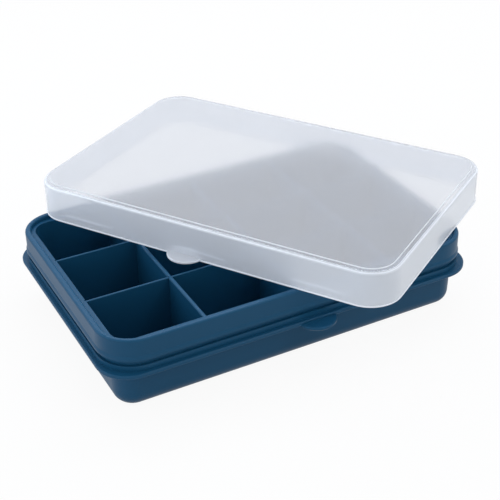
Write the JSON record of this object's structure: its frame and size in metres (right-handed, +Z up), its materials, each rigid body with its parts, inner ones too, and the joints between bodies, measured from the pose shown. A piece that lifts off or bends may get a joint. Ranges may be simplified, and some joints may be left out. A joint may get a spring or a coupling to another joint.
{
  "type": "lunch box",
  "caption": "Rectangular plastic lunch box: tray with moulded columns, thin lift-out cross dividers and a frosted lid lying askew on the rim.",
  "frame": {"origin": "middle of the tray's flat bottom, on the table", "axes": "+X along the tray's long side, to the right seen from the front; +Y to the back, away from the side with the tray's thumb tab; +Z up"},
  "size_m": [0.2826, 0.2836, 0.0749],
  "materials": {
    "navy_polypropylene": "satin moulded",
    "frosted_polypropylene": "frosted, translucent"
  },
  "bodies": {
    "tray": {"tray": "navy_polypropylene"},
    "divider_1_front": {"divider_1_front": "navy_polypropylene"},
    "divider_1_back": {"divider_1_back": "navy_polypropylene"},
    "divider_2_front": {"divider_2_front": "navy_polypropylene"},
    "divider_2_back": {"divider_2_back": "navy_polypropylene"},
    "divider_3_front": {"divider_3_front": "navy_polypropylene"},
    "divider_3_back": {"divider_3_back": "navy_polypropylene"},
    "divider_4_front": {"divider_4_front": "navy_polypropylene"},
    "divider_4_back": {"divider_4_back": "navy_polypropylene"},
    "lid": {"lid": "frosted_polypropylene"}
  },
  "joints": [
    {"name": "lid_lift", "type": "slide", "parent": "tray", "child": "lid", "axis": [0, 0, 1], "range_m": [0, 0.1]},
    {"name": "divider_1_front_lift", "type": "slide", "parent": "tray", "child": "divider_1_front", "axis": [0, 0, 1], "range_m": [0, 0.05]},
    {"name": "divider_1_back_lift", "type": "slide", "parent": "tray", "child": "divider_1_back", "axis": [0, 0, 1], "range_m": [0, 0.003]},
    {"name": "divider_2_front_lift", "type": "slide", "parent": "tray", "child": "divider_2_front", "axis": [0, 0, 1], "range_m": [0, 0.003]},
    {"name": "divider_2_back_lift", "type": "slide", "parent": "tray", "child": "divider_2_back", "axis": [0, 0, 1], "range_m": [0, 0.024]},
    {"name": "divider_3_front_lift", "type": "slide", "parent": "tray", "child": "divider_3_front", "axis": [0, 0, 1], "range_m": [0, 0.024]},
    {"name": "divider_3_back_lift", "type": "slide", "parent": "tray", "child": "divider_3_back", "axis": [0, 0, 1], "range_m": [0, 0.024]},
    {"name": "divider_4_front_lift", "type": "slide", "parent": "tray", "child": "divider_4_front", "axis": [0, 0, 1], "range_m": [0, 0.024]},
    {"name": "divider_4_back_lift", "type": "slide", "parent": "tray", "child": "divider_4_back", "axis": [0, 0, 1], "range_m": [0, 0.024]}
  ]
}
